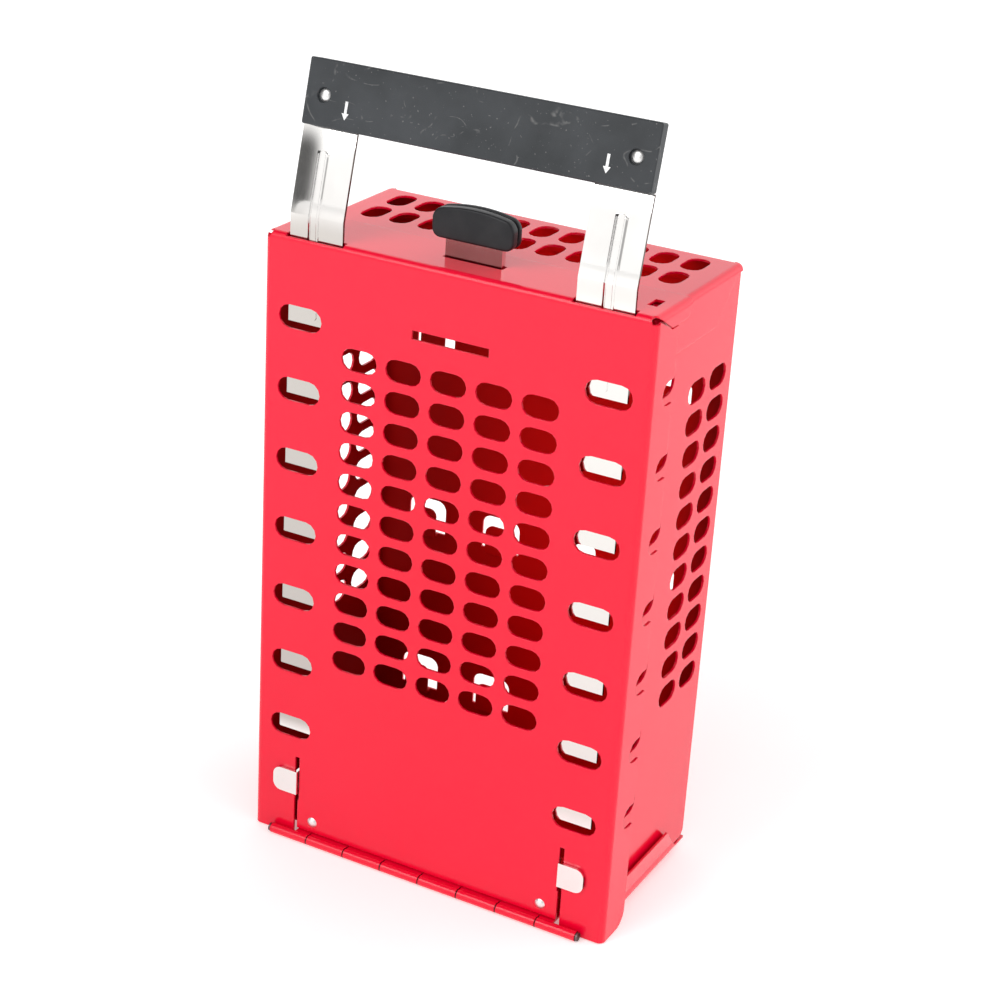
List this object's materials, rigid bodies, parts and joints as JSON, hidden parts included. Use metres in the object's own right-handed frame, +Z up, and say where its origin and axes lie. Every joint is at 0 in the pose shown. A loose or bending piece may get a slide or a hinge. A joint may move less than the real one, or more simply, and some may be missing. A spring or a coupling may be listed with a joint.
{
  "type": "group lockout box",
  "caption": "Perforated red steel key box with a hinged front cover, notched padlock bars down both edges, a carrying handle and a pull-up latch.",
  "frame": {"origin": "on the floor under the middle of the overall width and depth, level with the bottom of the hinge", "axes": "+Z up, +X to the right as seen from the front, +Y from the front cover to the back"},
  "size_m": [0.162, 0.0895, 0.3221],
  "materials": {
    "red_paint": "gloss powder coat",
    "plated_steel": "bright",
    "bar_steel": "satin",
    "handle_plastic": "satin",
    "grip_rubber": "satin"
  },
  "bodies": {
    "box": {"back_and_sides": "red_paint", "top_panel": "red_paint", "bottom_panel": "red_paint", "body_hinge_leaf": "red_paint", "hinge_pin": "plated_steel", "base_rivet_left": "plated_steel", "base_rivet_right": "plated_steel"},
    "cover": {"front_cover": "red_paint", "cover_hinge_leaf": "red_paint", "cover_rivet_left": "plated_steel", "cover_rivet_right": "plated_steel", "latch_guide": "red_paint"},
    "handle": {"lock_bar_left": "bar_steel", "lock_bar_right": "bar_steel", "handle_front": "handle_plastic", "handle_rear": "handle_plastic", "handle_rivet_left": "plated_steel", "handle_rivet_right": "plated_steel"},
    "latch": {"latch_strip": "bar_steel", "latch_grip": "grip_rubber"}
  },
  "joints": [
    {"name": "cover_hinge", "type": "hinge", "parent": "box", "child": "cover", "pos_m": [0, -0.04275, 0.002], "axis": [1, 0, 0], "range_deg": [0, 90]},
    {"name": "handle_slide", "type": "slide", "parent": "cover", "child": "handle", "axis": [0, 0, 1], "range_m": [0, 0.006]},
    {"name": "latch_slide", "type": "slide", "parent": "cover", "child": "latch", "axis": [0, 0, 1], "range_m": [0, 0.0085]}
  ]
}
